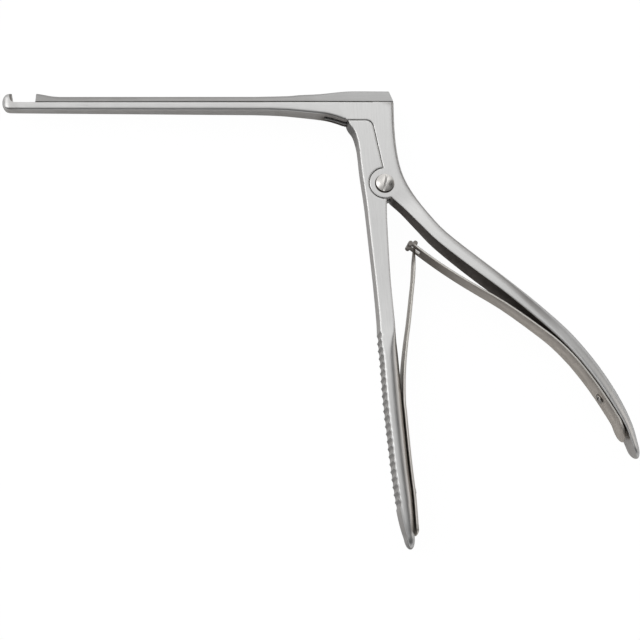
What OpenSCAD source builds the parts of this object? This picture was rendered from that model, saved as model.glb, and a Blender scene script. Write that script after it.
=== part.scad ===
// Antrum punch forceps. The hooked lower shaft, the body and the rear handle are one forging.
// The upper shaft slides on it, and the front handle turns on the pivot screw and drives the upper shaft.
// X runs back along the shafts, Y up from the handles, Z from the far flat side to the near one.
// The origin is on the pivot axis, in the plane of the frame's far flat side.

/* [Shafts] */
// Length from the pivot axis forward to the nose of the hook
shaft_reach = 114.8; // [100:0.1:130]
// Height of the sliding seam above the pivot axis
seam_h = 25.6; // [21.5:0.1:30]
// Width of both shafts along their slim stretch
shaft_w = 4.5; // [4:0.1:5.4]
// Height of the lower shaft along its slim stretch
lower_h = 2.5; // [2.3:0.05:3.1]
// Height of the upper shaft along its slim stretch
upper_h = 1.8; // [1.5:0.05:2.2]
// Height of the upper shaft at its punch head
punch_h = 2.85; // [2.4:0.05:3.4]
// Height of the upper shaft above the body
upper_rear_h = 3.4; // [2.9:0.05:4.1]
// Height of the hook above the seam
hook_h = 2.8; // [2.4:0.05:3.4]
// Thickness of the hook from its nose to its cutting face
hook_t = 3.3; // [2.8:0.1:4]
// Open distance between the hook and the punch head
bite = 6.6; // [5:0.1:7.8]
// Lean of the cutting faces over their height
face_lean = 0.45; // [0.3:0.05:0.5]
// Radius of the cups in both cutting faces
cup_r = 1.4; // [1.2:0.05:1.5]
// Depth of the cups
cup_d = 0.8; // [0.5:0.05:0.9]
// Length of the slope behind the punch head
punch_slope_l = 7; // [5.8:0.1:8.4]
// Radius of the rounded corners under the lower shaft
lower_round = 0.8; // [0.5:0.05:1]
// Radius of the rounded corners on top of the upper shaft
upper_round = 0.9; // [0.6:0.05:1.1]

/* [Body and lock] */
// Thickness of the body across both flat sides
body_t = 7.5; // [6.4:0.1:9]
// Thickness of each cheek beside the lever
cheek_t = 2.25; // [1.9:0.05:2.6]
// Radius of the round boss about the pivot
boss_r = 4.65; // [4:0.05:5.5]
// Radius of the lever's hub between the cheeks
hub_r = 3.9; // [3.3:0.1:4.2]
// Depth of the body between the seam and the front handle's head
brow_h = 5.9; // [5:0.1:7]
// Distance of the back edge behind the pivot axis, at the seam
back_x = 3.9; // [3.3:0.1:4.6]
// Radius of the rounded back edge
back_round = 0.85; // [0.5:0.05:1.1]
// Visible gap along the lap seams
seam_gap = 0.2; // [0.15:0.01:0.25]
// Clearance of sliding and turning faces
run_clear = 0.08; // [0.05:0.01:0.1]

/* [Drive] */
// Distance of the lever's tip ahead of the pivot axis with the handles open
tip_lead = 3; // [2.5:0.1:3.6]
// Radius of the lever's round tip
tip_r = 1.5; // [1.25:0.05:1.8]
// Thickness of the drive block's front wall
drive_front = 2; // [1.6:0.1:2.4]
// Thickness of the drive block's rear wall
drive_rear = 1.5; // [1.2:0.1:1.8]
// Depth of the drive block under the seam
drive_h = 2.1; // [1.8:0.1:2.5]
// Width of the rail's foot
rail_w = 2.8; // [2.3:0.1:3.3]
// Height of the rail's foot
rail_h = 0.7; // [0.6:0.05:0.85]
// Width of the rail's stem
stem_w = 1.5; // [1.2:0.1:1.8]
// Height of the rail's stem
stem_h = 0.6; // [0.5:0.05:0.75]
// Distance of the rail's front end behind the punch face
rail_start = 9; // [8:0.1:11]
// Distance of the rail's rear end ahead of the lever's slot
rail_stop = 6; // [5:0.1:7.2]

/* [Handles] */
// Length from the pivot axis down to the end of the front handle
handle_len = 110; // [92:1:130]
// Width of both handles at the grips
grip_w = 10.8; // [9:0.1:12.9]
// Depth of both handles at the grips
grip_d = 4.6; // [3.9:0.1:5.4]
// Distance between two scallops on the front handle
scallop_pitch = 2.28; // [1.9:0.01:2.72]
// Depth of the scallops
scallop_d = 0.5; // [0.35:0.05:0.6]
// Number of scallops
scallop_n = 23; // [16:1:23]

/* [Springs] */
// Thickness of both leaf springs
leaf_t = 0.65; // [0.5:0.05:0.8]
// Width of both leaf springs at their screws
leaf_w = 10.4; // [8.8:0.1:12]
// Width of the rear leaf at its forked tip
fork_w = 7.4; // [6.4:0.1:8.4]
// Width of the slot in the rear leaf's tip
fork_slot_w = 2.7; // [2.3:0.1:3.1]
// Width of the front leaf below its tongue
neck_w = 6.2; // [5.2:0.1:7.2]
// Width of the front leaf's tongue in the slot
tongue_w = 2; // [1.7:0.1:2.2]
// Radius of the rolled ends of both leaves
roll_r = 0.75; // [0.65:0.05:0.9]
// Length of the slot in the rear leaf's tip
fork_slot_l = 4.2; // [3.5:0.1:5]
// Length of the tongue above the neck
tongue_l = 3.6; // [3.2:0.1:4.5]

/* [Screws] */
// Radius of the pivot screw's head
pivot_head_r = 2.75; // [2.3:0.05:3.2]
// Height of the pivot screw's head
pivot_head_h = 1.1; // [0.9:0.05:1.3]
// Width and depth of the slot in the pivot screw's head
pivot_slot = 0.55; // [0.45:0.05:0.65]
// Turn of the slot in the pivot screw's head
pivot_slot_turn = 78; // [0:1:180]
// Radius of the pivot screw's shank
pivot_r = 1.6; // [1.35:0.05:1.9]
// Radius of the pivot screw's end in the far cheek
pivot_end_r = 1.3; // [1.1:0.05:1.5]
// Radius of the spring screws' heads
leaf_head_r = 1.5; // [1.25:0.05:1.8]
// Height of the spring screws' heads
leaf_head_h = 0.7; // [0.6:0.05:0.85]
// Width and depth of the slot in the spring screws' heads
leaf_slot = 0.4; // [0.35:0.05:0.5]
// Turn of the slots in the spring screws' heads
leaf_slot_turn = 20; // [0:1:180]
// Radius of the spring screws' shanks
leaf_screw_r = 0.9; // [0.75:0.05:1.05]
// Length of the spring screws below their heads
leaf_screw_l = 2.6; // [2.2:0.1:3]

/* [Hidden] */
$fn = 48;
over = 1;
edge_break = 0.12;
mid_z = body_t / 2;
slot_t = body_t - 2 * cheek_t;
lever_t = slot_t - 2 * run_clear;
seam_half = run_clear;
frame_top = seam_h - seam_half;
slide_foot = seam_h + seam_half;
brow_y = seam_h - brow_h;
cut_x = -shaft_reach + hook_t;
punch_x = cut_x + bite;

// Lever: its tip runs on an arc about the pivot, in the drive block's pocket
tip = [-tip_lead, seam_h];
lever_len = norm(tip);
travel = bite - seam_half;
squeeze = asin((tip_lead + travel) / lever_len) - asin(tip_lead / lever_len);
pocket_half = tip_r + run_clear;
slot_back_x = -tip_lead + pocket_half + drive_rear + 3 * run_clear;
slot_front_share = -0.68;
slot_front_x = slot_front_share * lever_len;

// Grips: each row has the outer edge's place as shares of the handle length,
// then the shares of depth, of flare in width and of crown
rear_grip_shares = [
    [0.0877, -0.043, 1.13, 0, 0],
    [0.1245, -0.093, 0.95, 0.3, 0],
    [0.166, -0.14, 0.89, 0.55, 0],
    [0.246, -0.2075, 0.88, 0.85, 0.1],
    [0.3315, -0.274, 0.89, 1, 0.35],
    [0.4135, -0.338, 0.99, 1, 0.65],
    [0.4895, -0.4055, 1.04, 1, 0.9],
    [0.5465, -0.472, 0.99, 1, 1],
    [0.5935, -0.54, 0.93, 1, 1],
    [0.631, -0.607, 0.85, 0.95, 1],
    [0.6585, -0.6735, 0.67, 0.8, 1],
    [0.6715, -0.728, 0.5, 0.4, 1],
];
front_grip_shares = [
    [-0.0527, -0.0475, 1.345, 0, 0],
    [-0.0476, -0.1045, 1.21, 0, 0],
    [-0.0431, -0.16, 1.13, 0, 0],
    [-0.0336, -0.273, 0.98, 0.1, 0],
    [-0.0264, -0.384, 0.97, 0.35, 0.1],
    [-0.0269, -0.4385, 1.065, 0.6, 0.55],
    [-0.0228, -0.493, 1.09, 0.85, 0.9],
    [-0.0172, -0.603, 1.11, 1, 1],
    [-0.0079, -0.7115, 1.055, 1, 1],
    [-0.0009, -0.7915, 1.03, 1, 1],
    [0.0087, -0.873, 0.98, 1, 1],
    [0.0191, -0.9335, 0.8, 0.75, 1],
    [0.0288, -0.9705, 0.565, 0.3, 1],
];
rear_tip_share = 0.036;
front_tip_share = 0.034;
rear_crown = [[0.09, 0.05], [0.8, 0.42]];
front_crown = [[0.55, 0.24], [0.2, 0.13]];

function lerp(a, b, t) = a + (b - a) * t;
function ease(t) = t < 0 ? 0 : t > 1 ? 1 : t * t * (3 - 2 * t);
function unit(v) = v / norm(v);
function left_of(v) = [-v.y, v.x];
function turned(p, a) = [p.x * cos(a) - p.y * sin(a), p.x * sin(a) + p.y * cos(a)];

// A smooth curve through rows of any length, n steps from row to row
function curve_at(a, b, c, d, t) =
    b + (c - a) * t / 2 + (2 * a - 5 * b + 4 * c - d) * t * t / 2
    + (3 * b - a - 3 * c + d) * t * t * t / 2;
function smooth_rows(rows, n) = [
    for (i = [0 : len(rows) - 2], k = [0 : n - 1])
        curve_at(
            rows[max(i - 1, 0)], rows[i], rows[i + 1], rows[min(i + 2, len(rows) - 1)], k / n
        ),
    rows[len(rows) - 1],
];
function heading(path, i) =
    unit(path[min(i + 1, len(path) - 1)] - path[max(i - 1, 0)]);

// The corner p between a and b, rounded to radius r
function round_corner(a, p, b, r, n = 8) =
    let (u = unit(a - p), v = unit(b - p), half = acos(u * v) / 2)
    let (c = p + unit(u + v) * r / sin(half), from = p + u * r / tan(half) - c)
    let (way = u.x * v.y - u.y * v.x > 0 ? -1 : 1)
    [for (k = [0 : n]) c + turned(from, way * (180 - 2 * half) * k / n)];

// A station is [inner point, outer point, width, inner radii, outer radii, cut]:
// a rounded section between two points, centred on the middle plane
function ring(s, steps) =
    let (span = norm(s[1] - s[0]), dir = unit(s[1] - s[0]))
    [for (q = [0 : 3], k = [0 : steps])
        let (a = 90 * (q + k / steps), outer = q == 0 || q == 3, r = outer ? s[4] : s[3])
        let (u = min((outer ? span - r[0] : r[0]) + r[0] * cos(a), span - s[5]))
        let (v = (q < 2 ? 1 : -1) * (s[2] / 2 - r[1]) + r[1] * sin(a))
        [s[0].x + dir.x * u, s[0].y + dir.y * u, mid_z + v]];

// The solid through the stations, which run so that each ring faces back along the loft
module loft(stations, steps = 3) {
    n = 4 * (steps + 1);
    last = len(stations) - 1;
    way = (stations[1][0] + stations[1][1] - stations[0][0] - stations[0][1]) / 2;
    up = stations[0][1] - stations[0][0];
    turned_back = way.x * up.y - way.y * up.x > 0;
    polyhedron(
        points = [for (i = [0 : last]) each ring(stations[turned_back ? last - i : i], steps)],
        faces = [
            [for (j = [0 : n - 1]) n - 1 - j],
            for (i = [0 : last - 1], j = [0 : n - 1])
                each let (a = i * n + j, b = i * n + (j + 1) % n)
                [[a, b, b + n], [a, b + n, a + n]],
            [for (j = [0 : n - 1]) last * n + j],
        ]
    );
}

// Stations of a handle from its smooth rows: side is the turn from the path to its inner face,
// and crown holds the full roundings inside and outside
function grip_station(row, dir, side, edge_r, crown) =
    let (d = row[2] * grip_d, w = body_t + (grip_w - body_t) * row[3], c = ease(row[4]))
    let (outer = [row[0], row[1]] * handle_len, inner = outer + side * left_of(dir) * d)
    [
        inner,
        outer,
        w,
        [lerp(edge_break, crown[0][0] * d, c), lerp(edge_break, crown[0][1] * w, c)],
        [lerp(edge_r, crown[1][0] * d, c), lerp(edge_r, crown[1][1] * w, c)],
        0,
    ];
function grip_stations(rows, n, side, edge_r, crown) =
    let (fine = smooth_rows(rows, n), path = [for (r = fine) [r[0], r[1]]])
    [
        for (i = [0 : len(fine) - 1])
            grip_station(fine[i], heading(path, i), side, edge_r, crown),
    ];

// A rounded end that carries on from the last station
function rounded_end(stations, l, n = 6) =
    let (s = stations[len(stations) - 1], before = stations[len(stations) - 2])
    let (c = (s[0] + s[1]) / 2, dir = unit(c - (before[0] + before[1]) / 2))
    concat(stations, [
        for (k = [1 : n])
            let (a = 84 * k / n, half = (s[1] - s[0]) / 2 * cos(a), p = c + dir * l * sin(a))
            [p - half, p + half, s[2] * cos(a), s[3] * cos(a), s[4] * cos(a), s[5]],
    ]);

// Rear bar: the back edge above and beside the pivot, then the rear handle
back_rows = [
    [0.895 * back_x / handle_len, frame_top / handle_len, 1.4, 0, 0],
    [0.9 * back_x / handle_len, 0.678 * seam_h / handle_len, 1.45, 0, 0],
    [1.04 * back_x / handle_len, 0.388 * seam_h / handle_len, 1.42, 0, 0],
    [1.33 * back_x / handle_len, 0.163 * seam_h / handle_len, 1.48, 0, 0],
    [1.78 * back_x / handle_len, -0.009 * seam_h / handle_len, 1.46, 0, 0],
];
rear_bar = grip_stations(concat(back_rows, rear_grip_shares), 3, -1, back_round, rear_crown);
rear_stations = rounded_end(rear_bar, rear_tip_share * handle_len);

// Front handle: the head's front edge, then the grip with its scallops
head_rows = [
    [-0.454 * seam_h / handle_len, 0.9 * seam_h / handle_len, 3, 0, 0],
    [-0.401 * seam_h / handle_len, 0.734 * seam_h / handle_len, 2.6, 0, 0],
    [-0.342 * seam_h / handle_len, 0.6415 * seam_h / handle_len, 2.2, 0, 0],
    [-0.3055 * seam_h / handle_len, 0.5185 * seam_h / handle_len, 1.87, 0, 0],
    [-0.289 * seam_h / handle_len, 0.4045 * seam_h / handle_len, 1.68, 0, 0],
    [-0.2695 * seam_h / handle_len, 0.16 * seam_h / handle_len, 1.52, 0, 0],
];
front_bar = grip_stations(concat(head_rows, front_grip_shares), 4, 1, edge_break, front_crown);
front_plain = rounded_end(front_bar, front_tip_share * handle_len);
head_low_share = 0.34;
head_join_share = 0.42;
scallop_start_share = 0.416;

// The station at a given drop below the pivot axis, between the two nearest ones
function station_at(stations, drop, i = 0) =
    stations[i + 1][1].y < -drop || i + 2 >= len(stations)
    ? let (a = stations[i], b = stations[i + 1], t = (a[1].y + drop) / (a[1].y - b[1].y))
      [for (k = [0 : 5]) lerp(a[k], b[k], t)]
    : station_at(stations, drop, i + 1);
function with_cut(s, cut) = [s[0], s[1], s[2], s[3], s[4], cut];
scallop_from = scallop_start_share * handle_len;
scallop_to = scallop_from + scallop_n * scallop_pitch;
front_stations = concat(
    [
        for (s = front_plain)
            if (s[1].y > -scallop_from && s[1].y < head_join_share * seam_h) s
    ],
    [
        for (i = [0 : scallop_n - 1], f = [0, 0.25, 0.5, 0.75])
            with_cut(
                station_at(front_plain, scallop_from + (i + f) * scallop_pitch),
                4 * scallop_d * f * (1 - f)
            ),
    ],
    [station_at(front_plain, scallop_to)],
    [for (s = front_plain) if (s[1].y < -scallop_to) s]
);

// Shafts: width, and the lower shaft's belly as shares of the seam's height
flare_from_share = -2.95;
flare_to_share = -0.54;
function width_at(x) =
    lerp(shaft_w, body_t, ease((x / seam_h - flare_from_share) / (flare_to_share - flare_from_share)));
belly_shares = [
    [-1.515, 0],
    [-1.23, 0.006],
    [-0.985, 0.025],
    [-0.745, 0.051],
    [-0.625, 0.071],
    [-0.525, 0.101],
    [-0.458, 0.124],
    [-0.436, 0.13],
    [-0.37, 0.2],
    [-0.23, 0.2],
    [-0.02, 0.2],
];
nose_l = 0.65 * hook_t;
function shaft_station(x, low, top, r_low, r_top) = [
    [x, low],
    [x, top],
    width_at(x),
    [r_low, r_low],
    [r_top, r_top],
    0,
];
hook_mid = (seam_h - lower_h + seam_h + hook_h) / 2;
hook_half = (hook_h + lower_h) / 2;
hook_stations = [
    for (a = [14, 28, 42, 56, 70, 90])
        [
            [-shaft_reach + nose_l * (1 - cos(a)), hook_mid - hook_half * sin(a)],
            [-shaft_reach + nose_l * (1 - cos(a)), hook_mid + hook_half * sin(a)],
            shaft_w * sin(a),
            lower_round * sin(a) * [1.2, 1.2],
            lower_round * sin(a) * [1.6, 1.6],
            0,
        ],
    shaft_station(cut_x + over, seam_h - lower_h, seam_h + hook_h, lower_round, 1.6 * lower_round),
    shaft_station(cut_x + over + edge_break, seam_h - lower_h, frame_top, lower_round, edge_break),
];
belly = smooth_rows(belly_shares, 3);
lower_stations = concat(hook_stations, [
    for (b = belly)
        shaft_station(
            b[0] * seam_h,
            seam_h - lower_h - b[1] * seam_h,
            frame_top,
            lerp(lower_round, edge_break, ease((b[1] - 0.1) / 0.08)),
            edge_break
        ),
]);
upper_shares = [
    [-1.515, 0],
    [-1.14, 0.1],
    [-0.99, 0.28],
    [-0.75, 0.45],
    [-0.52, 0.82],
    [-0.4, 0.97],
    [-0.26, 1],
];
upper_stations = concat(
    [
        for (t = [0, 0.25, 0.5, 0.75, 1])
            shaft_station(
                punch_x - over + t * (punch_slope_l + over),
                slide_foot,
                seam_h + lerp(punch_h, upper_h, ease(t)),
                edge_break,
                upper_round
            ),
    ],
    [
        for (b = smooth_rows(upper_shares, 3))
            shaft_station(
                b[0] * seam_h,
                slide_foot,
                seam_h + lerp(upper_h, upper_rear_h, b[1]),
                edge_break,
                lerp(upper_round, upper_round / 2, ease(b[1]))
            ),
    ],
    [
        shaft_station(back_x, slide_foot, seam_h + upper_rear_h, edge_break, upper_round / 2),
    ]
);

// Lap seam between the frame and the front handle's head, g is the gap
head_corner = [-0.134 * seam_h, brow_y];
head_foot = [-0.1 * boss_r, boss_r - edge_break];
head_round_share = 0.39;
head_round = head_round_share * brow_h;
head_front_x = -0.435 * seam_h;
function lap(g) = concat(
    round_corner(
        [head_front_x, brow_y + g], head_corner + [g, g], head_foot + [g, 0], head_round
    ),
    [head_foot + [g, 0], [g + edge_break, -boss_r]]
);
module through(t = 3 * grip_w) {
    translate([0, 0, mid_z - t / 2])
        linear_extrude(t)
            children();
}
module head_cut() {
    through()
        polygon(concat(
            [[head_front_x - seam_gap, brow_y + seam_gap]],
            lap(seam_gap),
            [[head_front_x - seam_gap, -boss_r]]
        ));
}
module head_limit() {
    through()
        polygon(concat(
            [[-handle_len, brow_y]],
            lap(0),
            [
                [handle_len, -boss_r],
                [handle_len, -2 * handle_len],
                [-handle_len, -2 * handle_len],
            ]
        ));
}

// The lever's neck stands in the drive block's pocket, and its body widens below the block
module lever_outline() {
    along = unit(tip);
    half = 0.7 * tip_r * left_of(along);
    neck_foot = tip - (drive_h + 3 * run_clear) * along;
    polygon([
        [-0.3, 0.62] * lever_len,
        [-0.38, 0.73] * lever_len,
        [-0.38, 0.79] * lever_len,
        [-0.22, 0.86] * lever_len,
        neck_foot + half,
        tip + half,
        tip - half,
        neck_foot - half,
        [-0.03, 0.8] * lever_len,
        [0.02, 0.49] * lever_len,
        hub_r * [cos(20), sin(20)],
        [0, 0],
        [-0.22, 0.1] * lever_len,
    ]);
}
module head_plate() {
    edge = [for (s = front_bar) if (s[1].y > head_low_share * seam_h) s[1]];
    linear_extrude(body_t)
        polygon(concat(edge, [[0, edge[len(edge) - 1].y], [0, brow_y]]));
}
module lever_slot() {
    c = 3 * run_clear;
    through(slot_t)
        polygon([
            [slot_front_x, seam_h + over],
            [slot_back_x, seam_h + over],
            [slot_back_x, 0.84 * lever_len],
            [0.02 * lever_len + c, 0.49 * lever_len],
            (hub_r + run_clear) * [cos(14), sin(14)],
            [0, 0],
            [0.55, -1.15] * boss_r,
            [-2 * boss_r, -2 * boss_r],
            [slot_front_x, 0],
        ]);
    translate([0, 0, mid_z - slot_t / 2])
        cylinder(r = hub_r + run_clear, h = slot_t);
}

rail_from = punch_x + rail_start;
rail_to = slot_front_x - rail_stop;
module rail(g, from, to) {
    foot_top = seam_h - seam_half - stem_h;
    translate([from, foot_top - rail_h - g, mid_z - rail_w / 2 - g])
        cube([to - from, rail_h + 2 * g, rail_w + 2 * g]);
    translate([from, foot_top - rail_h, mid_z - stem_w / 2 - g])
        cube([to - from, rail_h + stem_h + 3 * seam_half, stem_w + 2 * g]);
}

// The ball that hollows a cutting face at x, dir points out of the face
module cup(x, dir) {
    translate([x + dir * (cup_r - cup_d), seam_h + (seam_half + hook_h) / 2, mid_z])
        sphere(r = cup_r);
}

// Places on the handles' inner faces for the leaves and their screws
rear_screw_share = 0.577;
front_screw_share = 0.852;
function leaf_seat(stations, share) =
    let (s = station_at(stations, share * handle_len), inward = unit(s[0] - s[1]))
    [s[0], inward];
module at_seat(seat) {
    translate([seat[0].x, seat[0].y, mid_z])
        rotate([0, 0, atan2(seat[1].y, seat[1].x)])
            rotate([0, 90, 0])
                children();
}
rear_seat = leaf_seat(rear_stations, rear_screw_share);
front_seat = leaf_seat(front_plain, front_screw_share);

module frame() {
    color("silver")
    difference() {
        union() {
            difference() {
                union() {
                    loft(lower_stations);
                    loft(rear_stations);
                }
                head_cut();
            }
            cylinder(r = boss_r, h = body_t);
        }
        lever_slot();
        rail(run_clear, rail_from - travel - 3 * run_clear, slot_front_x + over);
        bite_cut();
        cup(cut_x - face_lean / 2, 1);
        translate([0, 0, -over])
            cylinder(r = pivot_end_r + run_clear / 2, h = body_t);
        translate([0, 0, mid_z])
            cylinder(r = pivot_r + run_clear / 2, h = body_t);
        at_seat(rear_seat)
            translate([0, 0, -leaf_screw_l])
                cylinder(r = leaf_screw_r, h = leaf_screw_l + over);
    }
}
module bite_cut() {
    translate([0, 0, mid_z - shaft_w])
        linear_extrude(2 * shaft_w)
            polygon([
                [cut_x, frame_top],
                [cut_x - face_lean, seam_h + hook_h],
                [cut_x - face_lean, seam_h + hook_h + over],
                [cut_x + 3 * over, seam_h + hook_h + over],
                [cut_x + 3 * over, frame_top],
            ]);
}

module slide() {
    color("gainsboro")
    difference() {
        union() {
            loft(upper_stations);
            rail(0, rail_from, rail_to);
            translate([-tip_lead - pocket_half - drive_front, seam_h - drive_h, mid_z - lever_t / 2])
                cube([2 * pocket_half + drive_front + drive_rear, drive_h + over, lever_t]);
        }
        translate([0, 0, mid_z - shaft_w])
            linear_extrude(2 * shaft_w)
                polygon([
                    [punch_x, seam_h - over],
                    [punch_x, seam_h],
                    [punch_x + face_lean, seam_h + punch_h + over],
                    [punch_x - 2 * over, seam_h + punch_h + over],
                    [punch_x - 2 * over, seam_h - over],
                ]);
        translate([0, 0, mid_z - body_t])
            linear_extrude(2 * body_t)
                polygon([
                    [0.86 * back_x, slide_foot - edge_break],
                    [0.5 * back_x, seam_h + upper_rear_h + edge_break],
                    [back_x + over, seam_h + upper_rear_h + edge_break],
                    [back_x + over, slide_foot - edge_break],
                ]);
        cup(punch_x + face_lean / 2, -1);
        translate([-tip_lead - pocket_half, seam_h - drive_h - over, mid_z - slot_t / 2])
            cube([2 * pocket_half, drive_h + over + tip_r + 3 * run_clear, slot_t]);
    }
}

module front_handle() {
    color("silver")
    difference() {
        union() {
            difference() {
                intersection() {
                    union() {
                        loft(front_stations);
                        head_plate();
                    }
                    head_limit();
                }
                for (z = [mid_z - lever_t / 2 - body_t, mid_z + lever_t / 2])
                    translate([0, 0, z])
                        cylinder(r = boss_r + seam_gap, h = body_t);
            }
            through(lever_t)
                lever_outline();
            translate([0, 0, mid_z - lever_t / 2])
                cylinder(r = hub_r, h = lever_t);
            translate([tip.x, tip.y, mid_z - lever_t / 2])
                cylinder(r = tip_r, h = lever_t);
        }
        translate([0, 0, -over])
            cylinder(r = pivot_r + run_clear / 2, h = body_t + 2 * over);
        at_seat(front_seat)
            translate([0, 0, -leaf_screw_l])
                cylinder(r = leaf_screw_r, h = leaf_screw_l + over);
    }
}

// A screw's head with a low dome and a driver slot, as wide as it is deep
module domed_head(r, h, slot, turn) {
    rim = h / 2;
    dome = h - rim;
    ball = (r * r + dome * dome) / (2 * dome);
    difference() {
        union() {
            cylinder(r = r, h = rim);
            intersection() {
                translate([0, 0, h - ball])
                    sphere(r = ball, $fn = 96);
                translate([0, 0, rim])
                    cylinder(r = r, h = h);
            }
        }
        rotate([0, 0, turn])
            translate([-r - over, -slot / 2, h - slot])
                cube([2 * (r + over), slot, slot + over]);
    }
}
module pivot_screw() {
    color("lightgray") {
        translate([0, 0, body_t])
            domed_head(pivot_head_r, pivot_head_h, pivot_slot, pivot_slot_turn);
        translate([0, 0, cheek_t])
            cylinder(r = pivot_r, h = body_t - cheek_t);
        cylinder(r = pivot_end_r, h = body_t / 2);
    }
}
module leaf_screw(seat) {
    color("lightgray")
    at_seat(seat) {
        translate([0, 0, leaf_t + 2 * leaf_gap])
            domed_head(leaf_head_r, leaf_head_h, leaf_slot, leaf_slot_turn);
        translate([0, 0, -leaf_screw_l])
            cylinder(r = leaf_screw_r - run_clear / 2, h = leaf_screw_l + leaf_t + 3 * leaf_gap);
    }
}

// Leaves: each follows its handle's inner face from the screw, then bows free to the other leaf
// Rows hold a place down the handle and the leaf's lift off its seat, both as shares
leaf_gap = 2 * run_clear;
leaf_widen_share = 0.42;
function leaf_path(stations, rows) = smooth_rows([
    for (r = rows)
        let (seat = leaf_seat(stations, r[0]))
        seat[0] + seat[1] * (leaf_gap + leaf_t / 2 + r[1] * handle_len),
], 3);
function flat_rows(from, to, n) = [for (k = [0 : n]) [lerp(from, to, k / n), 0]];
rear_path = leaf_path(rear_stations, concat([
    [0.1075, 0.0485],
    [0.164, 0.038],
    [0.221, 0.0295],
    [0.292, 0.0155],
    [0.364, 0.0065],
    [0.4115, 0.0015],
], flat_rows(0.46, 0.65, 8), [[0.667, 0.0025]]));
front_path = leaf_path(front_plain, concat([
    [0.177, 0.0735],
    [0.2, 0.0687],
    [0.267, 0.0617],
    [0.3165, 0.0524],
    [0.387, 0.0376],
    [0.4425, 0.0251],
    [0.4975, 0.0128],
    [0.5515, 0.0047],
], flat_rows(0.61, 0.9, 10), [[0.96, 0.002]]));
function leaf_station(path, i, w) =
    let (n = left_of(heading(path, i)) * leaf_t / 2)
    [path[i] - n, path[i] + n, w, edge_break * [1, 1], edge_break * [1, 1], 0];
function leaf_stations(path, w0, w1, t0, t1) = [
    for (i = [0 : len(path) - 1])
        leaf_station(path, i, lerp(w0, w1, ease((i / (len(path) - 1) - t0) / (t1 - t0)))),
];
front_leaf_stations = rounded_end([
    for (i = [0 : len(front_path) - 1])
        let (
            below = front_path[0].y - front_path[i].y - tongue_l,
            neck = lerp(tongue_w, neck_w, ease(below / tongue_w))
        )
        leaf_station(front_path, i, lerp(neck, leaf_w, ease(below / (leaf_widen_share * handle_len)))),
], 0.15 * leaf_w);
module rear_spring() {
    color("darkgray")
    difference() {
        union() {
            loft(rounded_end(leaf_stations(rear_path, fork_w, leaf_w, 0, 0.45), 0.45 * leaf_w), 1);
            translate([rear_path[0].x, rear_path[0].y - roll_r + leaf_t / 2, mid_z - fork_w / 2])
                cylinder(r = roll_r, h = fork_w);
        }
        fork_slot();
        at_seat(rear_seat)
            translate([0, 0, -over])
                cylinder(r = leaf_screw_r + run_clear / 2, h = leaf_t + 2 * over);
    }
}
module fork_slot() {
    d = heading(rear_path, 1);
    translate([rear_path[0].x, rear_path[0].y, mid_z])
        rotate([0, 0, atan2(d.y, d.x)])
            translate([-2 * roll_r, -3 * roll_r, -fork_slot_w / 2])
                cube([fork_slot_l + 2 * roll_r, 5 * roll_r, fork_slot_w]);
}
module front_spring() {
    color("darkgray")
    difference() {
        union() {
            loft(front_leaf_stations, 1);
            translate([front_path[0].x, front_path[0].y + roll_r / 2, mid_z - tongue_w / 2])
                cylinder(r = roll_r, h = tongue_w);
        }
        at_seat(front_seat)
            translate([0, 0, -over])
                cylinder(r = leaf_screw_r + run_clear / 2, h = leaf_t + 2 * over);
    }
}
module rear_spring_screw() {
    leaf_screw(rear_seat);
}
module front_spring_screw() {
    leaf_screw(front_seat);
}

frame();
slide();
front_handle();
pivot_screw();
rear_spring();
rear_spring_screw();
front_spring();
front_spring_screw();
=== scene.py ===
# Antrum punch forceps, dressed for the studio: the imported solids get satin and polished steel,
# and both leaf springs are shown as smoothed sheets copied from their solids.
import math

import bmesh
import bpy
from mathutils import Matrix, Vector


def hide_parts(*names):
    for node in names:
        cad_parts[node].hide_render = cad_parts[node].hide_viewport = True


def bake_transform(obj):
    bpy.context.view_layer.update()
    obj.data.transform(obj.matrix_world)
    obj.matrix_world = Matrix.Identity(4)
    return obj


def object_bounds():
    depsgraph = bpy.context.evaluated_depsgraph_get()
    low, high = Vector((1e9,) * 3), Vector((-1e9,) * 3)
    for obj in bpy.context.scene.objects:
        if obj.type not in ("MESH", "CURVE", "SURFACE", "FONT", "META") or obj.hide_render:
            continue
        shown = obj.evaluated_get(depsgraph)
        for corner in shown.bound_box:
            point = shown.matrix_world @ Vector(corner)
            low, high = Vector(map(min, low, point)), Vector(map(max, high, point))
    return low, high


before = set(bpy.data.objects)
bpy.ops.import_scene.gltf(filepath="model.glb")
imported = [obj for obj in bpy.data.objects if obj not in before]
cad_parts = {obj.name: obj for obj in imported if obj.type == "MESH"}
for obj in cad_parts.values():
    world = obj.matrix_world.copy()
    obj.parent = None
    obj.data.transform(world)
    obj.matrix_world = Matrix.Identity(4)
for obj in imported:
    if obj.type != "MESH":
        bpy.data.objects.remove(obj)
cad_lo, cad_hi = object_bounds()
scene = bpy.context.scene
scene.view_settings.view_transform = "Standard"
MM = 0.001
X, Y, Z = 0, 1, 2

# The camera stands over the instrument, leaning towards the handles' ends and a little towards
# the hook. Its tilts and its roll are in radians.
AIM = Vector((-20.695, -42.104, 7.5)) * MM
TILT_Y, TILT_X, ROLL = 0.2026, 0.0924, -0.024
DISTANCE, CLIP = 0.6, (0.01, 10)
FOCAL_PX, PICTURE_PX, SENSOR_MM = 2022.0, 640, 36


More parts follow.
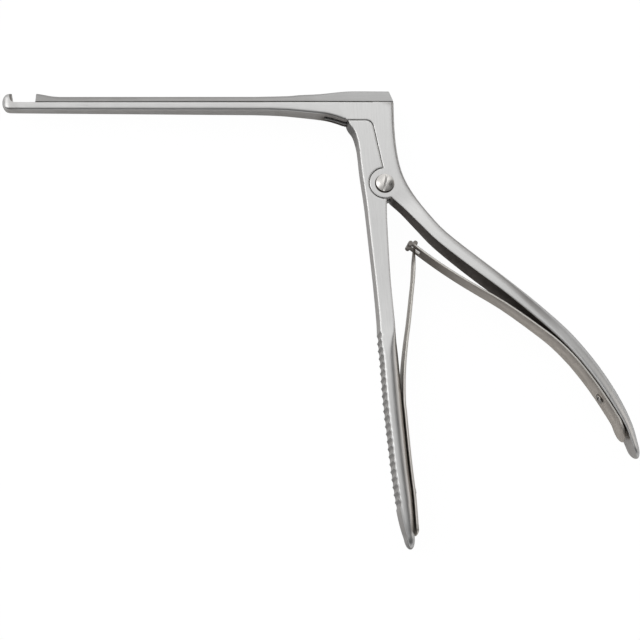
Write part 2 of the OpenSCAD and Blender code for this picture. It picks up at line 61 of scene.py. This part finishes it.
def make_camera():
    back = Vector((-math.tan(TILT_X), -math.tan(TILT_Y), 1)).normalized()
    right = (-back).cross(Vector((0, 1, 0))).normalized()
    up = right.cross(-back)
    right, up = (
        right * math.cos(ROLL) + up * math.sin(ROLL),
        up * math.cos(ROLL) - right * math.sin(ROLL),
    )
    data = bpy.data.cameras.new("camera")
    data.sensor_width = SENSOR_MM
    data.lens = FOCAL_PX / PICTURE_PX * SENSOR_MM
    data.clip_start, data.clip_end = CLIP
    cam = bpy.data.objects.new("camera", data)
    scene.collection.objects.link(cam)
    axes = Matrix((right, up, back)).transposed().to_4x4()
    cam.matrix_world = Matrix.Translation(AIM + back * DISTANCE) @ axes
    scene.camera = cam


class Graph:
    """A material's or the world's node tree, with one short call for each kind of node."""

    def __init__(self, owner):
        owner.use_nodes = True
        self.nodes, self.links = owner.node_tree.nodes, owner.node_tree.links
        self.nodes.clear()

    def add(self, kind, out=0, at=None, **inputs):
        """One output of a new node.

        at sets the node's own properties. The inputs go by name, with _ for a blank, or by
        number, as i0 and i1, and each takes a value or another node's output.
        """
        node = self.nodes.new(kind)
        for name, value in (at or {}).items():
            setattr(node, name, value)
        for name, value in inputs.items():
            key = int(name[1:]) if name[1:].isdigit() else name.replace("_", " ")
            self.put(node.inputs[key], value)
        return node.outputs[out]

    def put(self, socket, value):
        """Link an input or set it. A colour comes without alpha, which is always 1."""
        if isinstance(value, bpy.types.NodeSocket):
            self.links.new(value, socket)
        elif socket.type == "RGBA":
            socket.default_value = (*value, 1)
        else:
            socket.default_value = value

    def show(self, shader, kind="ShaderNodeOutputMaterial"):
        """End the tree with an output node that shows the shader."""
        self.links.new(shader, self.nodes.new(kind).inputs["Surface"])

    def split(self, vector):
        """The vector's three parts, by number."""
        node = self.nodes.new("ShaderNodeSeparateXYZ")
        self.links.new(vector, node.inputs["Vector"])
        return node.outputs

    def math(self, op, a, b=0.0):
        return self.add("ShaderNodeMath", at={"operation": op}, i0=a, i1=b)

    def chain(self, op, first, *rest):
        for value in rest:
            first = self.math(op, first, value)
        return first

    def plus(self, *values):
        return self.chain("ADD", *values)

    def times(self, *values):
        return self.chain("MULTIPLY", *values)

    def most(self, *values):
        return self.chain("MAXIMUM", *values)

    def blend(self, amount, a, b):
        """a where the amount is 0, b where it is 1, for colours."""
        node = self.nodes.new("ShaderNodeMix")
        node.data_type = "RGBA"
        for name, value in (("Factor_Float", amount), ("A_Color", a), ("B_Color", b)):
            socket = next(s for s in node.inputs if s.identifier == name)
            self.put(socket, value)
        return next(s for s in node.outputs if s.identifier == "Result_Color")

    def band(self, value, low, high, out_low=0.0, out_high=1.0, smooth=True):
        """value carried from low..high to out_low..out_high, and held outside."""
        at = {"interpolation_type": "SMOOTHSTEP" if smooth else "LINEAR"}
        return self.add(
            "ShaderNodeMapRange", at=at, Value=value, From_Min=low, From_Max=high,
            To_Min=out_low, To_Max=out_high,
        )

    def span(self, value, low, high, out_low=0.0, out_high=1.0):
        """The same for a length, with low and high in millimetres."""
        return self.band(value, low * MM, high * MM, out_low, out_high)

    def noise(self, vector, scale, detail=3.0, rough=0.5):
        return self.add(
            "ShaderNodeTexNoise", Vector=vector, Scale=scale, Detail=detail, Roughness=rough
        )

    def streaks(self, point, turn, scale, detail=3.0):
        """Noise drawn out along the direction that lies at turn degrees in the flat plane."""
        turned = self.add(
            "ShaderNodeVectorRotate", at={"rotation_type": "Z_AXIS"}, Vector=point,
            Angle=-math.radians(turn),
        )
        drawn = self.add("ShaderNodeMapping", Vector=turned, Scale=scale)
        return self.noise(drawn, 1.0, detail, STREAK_ROUGH)

    def dot(self, vector, way):
        """Dot product with another vector, or with a fixed direction of any length."""
        if not isinstance(way, bpy.types.NodeSocket):
            way = Vector(way).normalized()
        at = {"operation": "DOT_PRODUCT"}
        return self.add("ShaderNodeVectorMath", out="Value", at=at, i0=vector, i1=way)

    def flatness(self, normal):
        """1 on faces that lie along the flat plane, on either side, and 0 on upright ones."""
        return self.math("ABSOLUTE", self.dot(normal, UP))

    def reach(self, place, middle):
        """Distance from the line that stands on the flat plane at the middle."""
        squares = (
            self.math("POWER", self.math("SUBTRACT", place[axis], at * MM), 2)
            for axis, at in zip((X, Y), middle)
        )
        return self.math("SQRT", self.plus(*squares))


UP = (0, 0, 1)
# The steel's grain: how often it changes in a metre, along the brushing and across it
STREAK, LEAF_STREAK = (110, 2600, 2600), (70, 2600, 420)
FINE = (500, 9000, 9000)
SCRATCH, SCRATCH_TURN = (45, 5200, 5200), 24
CLOUD, BROAD = 170, 26
STREAK_ROUGH = 0.6
# How much of the tone comes from the streaks, the fine grain, the clouds and the broad patches
TONE_SHARES = (0.4, 0.2, 0.25, 0.15)
BUMP_STRENGTH, BUMP_HEIGHT = 0.08, 0.04 * MM
BEVEL = {"samples": 6}
# Colours that lie over the brushed steel: painted shade and a painted edge highlight
LOW_SIDE_SHADE = (0.1, 0.094, 0.088)
PAINTED_SHADE = (0.08, 0.058, 0.045)
CREVICE_SHADE = (0.05, 0.046, 0.042)
EDGE_HIGHLIGHT = (0.97, 0.965, 0.95)


def steel(
    name, tones, rough, turns, ease=0.2, crease=(0.7, 0.12, 0.5), low=0.0, side=None, edge=None,
    shade=None, streak_scale=STREAK,
):
    """Brushed steel: streaks and fine grain along the piece, a cloudy tone, rare scratches.

    tones holds the darkest and the lightest colour, and rough the roughness of each.
    turns holds the grain's direction in degrees, and then (direction, axis, from, to) for each
    that takes over where the place along that axis goes from one value to the other.
    ease is the radius to which the light sees the edges broken, in millimetres.
    crease holds how wide a crevice still gets painted shade, in millimetres, and the open
    shares at which it is darkest and at which it is gone.
    side tints the faces that stand up from the flat plane, a duller finish with painted shade,
    and low is how strongly painted shade darkens those of them that look down the handles.
    edge is the colour of a leaf's narrow sides, a tone painted for the light that falls on them.
    shade(g, normal, place) gives the mask of painted shade, where the steel is also rougher.
    """
    dark, light = tones
    mat = bpy.data.materials.new(name)
    g = Graph(mat)
    coords = g.nodes.new("ShaderNodeTexCoord").outputs
    point, normal = coords["Object"], coords["Normal"]
    place = g.split(point)

    def grain(scale, detail):
        value = g.streaks(point, turns[0], scale, detail)
        for turn, axis, start, end in turns[1:]:
            over = g.streaks(point, turn, scale, detail)
            share = g.span(place[axis], start, end)
            value = g.plus(g.times(value, g.math("SUBTRACT", 1.0, share)), g.times(over, share))
        return value

    streak, fine = grain(streak_scale, 4), grain(FINE, 3)
    cloud, broad = g.noise(point, CLOUD, 4, 0.55), g.noise(point, BROAD, 2, 0.5)
    weighed = [g.times(*pair) for pair in zip((streak, fine, cloud, broad), TONE_SHARES)]
    tone = g.plus(*weighed)
    colour = g.blend(g.band(tone, 0.32, 0.68, smooth=False), dark, light)
    roughness = g.band(tone, 0.3, 0.7, *rough, smooth=False)

    scratch = g.band(g.streaks(point, turns[0] + SCRATCH_TURN, SCRATCH, 2), 0.71, 0.78, 0, 0.35)
    colour = g.blend(scratch, colour, [min(1, v * 1.15) for v in light])

    flat = g.flatness(normal)
    if side:
        # upright faces take the side tone: partly a duller finish and partly painted shade
        stands = g.times(g.band(flat, 0.5, 0.15), g.band(cloud, 0.25, 0.7, 0.8, 1.0))
        colour = g.blend(stands, colour, side)
        # painted shade on the upright faces that look down the handles, below the grip's scallops
        under = g.band(g.dot(normal, (0, -1, 0)), 0.05, 0.5, 0, low)
        colour = g.blend(g.times(stands, under), colour, LOW_SIDE_SHADE)
    if edge:
        colour = g.blend(g.band(flat, 0.75, 0.95), colour, edge)
    if shade:
        # painted shade over the masked places, which are also made rougher there
        mask = g.times(shade(g, normal, place), g.band(cloud, 0.2, 0.7, 1.0, 0.86))
        colour = g.blend(mask, colour, PAINTED_SHADE)
        roughness = g.plus(roughness, g.times(g.math("POWER", mask, 3), 0.6))

    # painted shade in crevices, darker the less open a point is
    open_share = g.add("ShaderNodeAmbientOcclusion", out="AO", Distance=crease[0] * MM)
    colour = g.blend(g.band(open_share, *crease[1:], 0.9, 0), colour, CREVICE_SHADE)

    # a painted highlight along the edges of the faces that lie flat
    eased = g.add("ShaderNodeBevel", at=BEVEL, Radius=ease * MM)
    turned = g.dot(eased, g.nodes.new("ShaderNodeNewGeometry").outputs["Normal"])
    rim = g.times(g.band(turned, 0.99, 0.92), g.band(flat, 0.7, 0.9, 0, 0.8))
    colour = g.blend(rim, colour, EDGE_HIGHLIGHT)
    bump = g.add(
        "ShaderNodeBump", Strength=BUMP_STRENGTH, Distance=BUMP_HEIGHT,
        Height=g.plus(streak, fine), Normal=eased,
    )
    g.show(g.add(
        "ShaderNodeBsdfPrincipled", Base_Color=colour, Metallic=1.0, Roughness=roughness,
        Normal=bump,
    ))
    return mat


# Masks of painted shade on the steel. A place's spans are in millimetres of the shared frame.
PIVOT_MIDDLE, CUP_MIDDLE = (-0.1, -0.14), (-109.9, 27.6)
CROWN_RADIUS = 2.8


def inner_face(g, normal, place):
    """Painted shade on the rear handle's inner face, fading out at its end."""
    facing = g.most(
        g.band(g.dot(normal, (-0.66, -0.75, 0)), 0.86, 0.93),
        g.band(g.dot(normal, (-0.84, -0.54, 0)), 0.9, 0.95),
    )
    body_end = g.times(g.span(place[X], 1, 3), g.span(place[Y], -3, -5))
    return g.times(facing, body_end, g.span(place[Y], -77.5, -74, 0, 0.84))


def pivot_crevice(g, place):
    """Painted shade in the crevice round the pivot screw's head."""
    return g.times(g.span(g.reach(place, PIVOT_MIDDLE), 3.05, 2.85), g.span(place[Z], 7, 7.4))


def slot_shadow(g, normal, place):
    """The cheeks' lower edges in the shadow of the lever's slot, where the near one is half lit."""
    below = g.times(g.band(g.dot(normal, (0, -1, 0)), 0.2, 0.5), g.span(place[Y], 12, 14))
    return g.times(below, g.span(place[X], -21, -16), g.span(place[Z], 5.2, 4.6, 0.5, 1))


def hook_cup(g, place):
    """Painted shade in the hollow of the hook's cup, and a faint trace of it over the rest of the
    hook.
    """
    cup = g.times(
        g.span(g.reach(place, CUP_MIDDLE), 3.0, 2.6, 0, 0.85), g.span(place[Y], 25.5, 25.9)
    )
    return g.most(cup, g.span(place[X], -108, -112, 0, 0.15))


def rounded_crown(g, normal, place):
    """Painted shade on the rear handle's outer edge and the body's back edge, where they round off.
    """
    rounded = g.add("ShaderNodeBevel", at=BEVEL, Radius=CROWN_RADIUS * MM)
    least, most = (g.span(place[Y], -25, -5, *ends) for ends in ((0.02, 0.14), (0.24, 0.5)))
    crown = g.band(g.dot(rounded, (0.8, 0.6, 0)), least, most, 0, 0.52)
    near_side = g.band(g.dot(normal, UP), 0.6, 0.85)
    return g.times(crown, near_side, g.span(place[X], -1, 2), g.span(place[X], 55, 42))


def frame_shade(g, normal, place):
    return g.most(
        inner_face(g, normal, place), pivot_crevice(g, place), slot_shadow(g, normal, place),
        hook_cup(g, place), rounded_crown(g, normal, place),
    )


def rear_leaf_shade(g, normal, place):
    """Painted shade on the rear leaf's broad faces near their near edge and linked end, and its
    roll.
    """
    broad = g.band(g.flatness(normal), 0.5, 0.2)
    near = g.times(broad, g.span(place[Z], 3.5, 8.5, 0, 0.42))
    link = g.times(broad, g.span(place[X], 34, 7, 0, 0.72))
    return g.most(near, link, g.span(place[X], 9.5, 7.5, 0, 0.7))


def front_leaf_shade(g, normal, place):
    """Painted shade on the rolled end of the front leaf."""
    return g.span(place[Y], -26, -23, 0, 0.6)


def slide_shade(g, normal, place):
    """The slide, painted darker towards its cutting end."""
    return g.span(place[X], -5, -40, 0.04, 0.28)


# The sky is brightest up and to the left of the shafts, and dark low on the right
SKY_WAY = (-0.35, 0.75, 0.56)
SKY_STOPS = (
    (0.0, 0.12), (0.1, 0.16), (0.36, 0.42), (0.53, 0.54), (0.66, 0.72), (0.8, 0.86), (0.9, 0.78),
    (1.0, 0.7),
)
# A bright strip low on the right, and a dark screen between it and the overhead light
RIM_WAY, RIM_SPREAD, RIM_COLOUR = (1.0, 0.2, 0.3), (0.9, 0.965), (0.8, 0.77, 0.74)
SCREEN_WAY, SCREEN_SPREAD, SCREEN_COLOUR = (0.58, 0.17, 0.78), (0.93, 0.985), (0.06, 0.06, 0.06)


def make_world():
    world = bpy.data.worlds.new("studio")
    scene.world = world
    g = Graph(world)
    way = g.nodes.new("ShaderNodeTexCoord").outputs["Generated"]
    ramp = g.nodes.new("ShaderNodeValToRGB")
    g.links.new(g.dot(way, SKY_WAY), ramp.inputs["Fac"])
    stops = ramp.color_ramp.elements
    stops[0].position, stops[1].position = SKY_STOPS[0][0], SKY_STOPS[-1][0]
    for at, _ in SKY_STOPS[1:-1]:
        stops.new(at)
    for stop, (_, v) in zip(stops, SKY_STOPS):
        stop.color = (v, v, v, 1)
    rim = g.band(g.dot(way, RIM_WAY), *RIM_SPREAD)
    screen = g.band(g.dot(way, SCREEN_WAY), *SCREEN_SPREAD)
    sky = g.blend(screen, g.blend(rim, ramp.outputs["Color"], RIM_COLOUR), SCREEN_COLOUR)
    g.show(g.add("ShaderNodeBackground", Color=sky), "ShaderNodeOutputWorld")


def area(name, where, size, power):
    data = bpy.data.lights.new(name, "AREA")
    data.shape = "RECTANGLE"
    data.size, data.size_y = size
    data.energy = power
    lamp = bpy.data.objects.new(name, data)
    scene.collection.objects.link(lamp)
    lamp.location = where
    lamp.rotation_mode = "QUATERNION"
    lamp.rotation_quaternion = (Vector(where) - AIM).to_track_quat("Z", "Y")


# White paper that glows for the camera, and only a little in what the steel reflects
FLOOR_REACH, FLOOR_DROP = 4.0, 0.3 * MM
PAPER, GLOW = (0.9, 0.9, 0.9), 1.045
GLOW_SEEN, GLOW_REFLECTED = 0.93, 0.1


def make_floor(z):
    mesh = bpy.data.meshes.new("floor")
    reach = FLOOR_REACH
    corners = [(-reach, -reach, z), (reach, -reach, z), (reach, reach, z), (-reach, reach, z)]
    mesh.from_pydata(corners, [], [(0, 1, 2, 3)])
    floor = bpy.data.objects.new("floor", mesh)
    scene.collection.objects.link(floor)
    mat = bpy.data.materials.new("floor_paper")
    g = Graph(mat)
    paper = g.add("ShaderNodeBsdfDiffuse", Color=PAPER)
    glow = g.add("ShaderNodeEmission", Color=(1, 1, 1), Strength=GLOW)
    rays = g.nodes.new("ShaderNodeLightPath").outputs
    share = g.plus(
        g.times(rays["Is Camera Ray"], GLOW_SEEN), g.times(rays["Is Glossy Ray"], GLOW_REFLECTED)
    )
    g.show(g.add("ShaderNodeMixShader", i0=share, i1=paper, i2=glow))
    mesh.materials.append(mat)


# Shading that is smooth round the shallow edges of the solids and flat on their broad faces
SHARP = math.radians(42)
WELD = 1e-6
NORMAL_WEIGHT = 80


def smoothing_group():
    group = bpy.data.node_groups.new("smooth_shallow_edges", "GeometryNodeTree")
    group.interface.new_socket("Geometry", in_out="INPUT", socket_type="NodeSocketGeometry")
    group.interface.new_socket("Geometry", in_out="OUTPUT", socket_type="NodeSocketGeometry")
    nodes, links = group.nodes, group.links
    start, end = nodes.new("NodeGroupInput"), nodes.new("NodeGroupOutput")
    merge = nodes.new("GeometryNodeMergeByDistance")
    merge.inputs["Distance"].default_value = WELD
    faces = nodes.new("GeometryNodeSetShadeSmooth")
    edges = nodes.new("GeometryNodeSetShadeSmooth")
    edges.domain = "EDGE"
    edges.inputs["Shade Smooth"].default_value = False
    angle = nodes.new("GeometryNodeInputMeshEdgeAngle")
    over = nodes.new("FunctionNodeCompare")
    over.data_type, over.operation = "FLOAT", "GREATER_THAN"
    over.inputs[1].default_value = SHARP
    links.new(start.outputs[0], merge.inputs["Geometry"])
    links.new(merge.outputs[0], faces.inputs["Geometry"])
    links.new(faces.outputs[0], edges.inputs["Geometry"])
    links.new(angle.outputs["Unsigned Angle"], over.inputs[0])
    links.new(over.outputs[0], edges.inputs["Selection"])
    links.new(edges.outputs[0], end.inputs[0])
    return group


def weigh(obj):
    mod = obj.modifiers.new("weighted", "WEIGHTED_NORMAL")
    mod.mode, mod.weight, mod.keep_sharp = "FACE_AREA", NORMAL_WEIGHT, True


def dress(node, mat, smoothing):
    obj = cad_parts[node]
    for slot in obj.material_slots:
        slot.material = mat
    if not obj.material_slots:
        obj.data.materials.append(mat)
    mod = obj.modifiers.new("smooth", "NODES")
    mod.node_group = smoothing
    weigh(obj)


def leaf(node, name, mat):
    """A leaf spring as one sheet, a smoothed copy of its solid, which is hidden."""
    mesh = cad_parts[node].data.copy()
    mesh.name = name
    bm = bmesh.new()
    bm.from_mesh(mesh)
    bmesh.ops.remove_doubles(bm, verts=bm.verts, dist=WELD)
    for face in bm.faces:
        face.smooth = True
        face.material_index = 0
    for edge in bm.edges:
        edge.smooth = len(edge.link_faces) == 2 and edge.calc_face_angle(0) < SHARP
    bm.to_mesh(mesh)
    bm.free()
    mesh.materials.clear()
    mesh.materials.append(mat)
    piece = bpy.data.objects.new(name, mesh)
    scene.collection.objects.link(piece)
    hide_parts(node)
    weigh(piece)
    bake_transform(piece)


# The darkest and lightest colour of each steel, and the roughness that goes with them
SATIN = ((0.65, 0.648, 0.642), (0.81, 0.808, 0.8))
SLIDE_SATIN = ((0.44, 0.44, 0.435), (0.58, 0.58, 0.575))
REAR_LEAF = ((0.4, 0.36, 0.32), (0.86, 0.8, 0.73))
FRONT_LEAF = ((0.6, 0.56, 0.51), (0.95, 0.9, 0.83))
POLISHED = ((0.76, 0.735, 0.7), (0.95, 0.93, 0.9))
SATIN_ROUGH, LEAF_ROUGH, POLISHED_ROUGH = (0.26, 0.36), (0.3, 0.4), (0.2, 0.28)
# Upright faces: satin sides duller and with painted shade, the screw heads' sides painted shade
SATIN_SIDE_DULL_AND_SHADED, POLISHED_SIDE_SHADE = (0.47, 0.45, 0.43), (0.2, 0.19, 0.17)
# The grain follows the rear handle, turns up the body and runs along the shafts
FRAME_TURNS = [-64, (-38, X, 48, 26), (90, Y, -6, 2), (0, X, -9, -16)]
REAR_LEAF_TURNS = [-52, (-32, X, 50, 30)]

make_camera()
make_world()
make_floor(cad_lo.z - FLOOR_DROP)
area("key", (0.2, 0.4, 0.75), (0.5, 0.5), 0.25)
area("left", (-0.5, 0.1, 0.5), (0.3, 0.6), 0.6)

frame_steel = steel(
    "frame_steel", SATIN, SATIN_ROUGH, FRAME_TURNS, ease=0.6, side=SATIN_SIDE_DULL_AND_SHADED, shade=frame_shade
)
slide_steel = steel(
    "slide_steel", SLIDE_SATIN, SATIN_ROUGH, [0], ease=0.3, side=SATIN_SIDE_DULL_AND_SHADED, shade=slide_shade
)
grip_steel = steel(
    "grip_steel", SATIN, SATIN_ROUGH, [-86], ease=0.8, crease=(0.3, 0.1, 0.4), low=0.75,
    side=SATIN_SIDE_DULL_AND_SHADED,
)
# the rear leaf's narrow sides get a painted highlight, and its broad faces painted shade
rear_leaf_steel = steel(
    "rear_spring_steel", REAR_LEAF, LEAF_ROUGH, REAR_LEAF_TURNS, edge=(0.72, 0.7, 0.66),
    shade=rear_leaf_shade, streak_scale=LEAF_STREAK,
)
# the front leaf's narrow sides get their painted tone, and its roll painted shade
front_leaf_steel = steel(
    "front_spring_steel", FRONT_LEAF, LEAF_ROUGH, [-87], crease=(0.12, 0.05, 0.3),
    edge=(0.62, 0.6, 0.56), shade=front_leaf_shade, streak_scale=LEAF_STREAK,
)
polished_steel = steel(
    "polished_steel", POLISHED, POLISHED_ROUGH, [20], crease=(1.4, 0.3, 0.85), side=POLISHED_SIDE_SHADE
)

smooth_edges = smoothing_group()
dress("frame", frame_steel, smooth_edges)
dress("slide", slide_steel, smooth_edges)
dress("front_handle", grip_steel, smooth_edges)
for screw in ("pivot_screw", "rear_spring_screw", "front_spring_screw"):
    dress(screw, polished_steel, smooth_edges)
leaf(
    "rear_spring", "rear_leaf",
    rear_leaf_steel,
)
leaf(
    "front_spring", "front_leaf",
    front_leaf_steel,
)
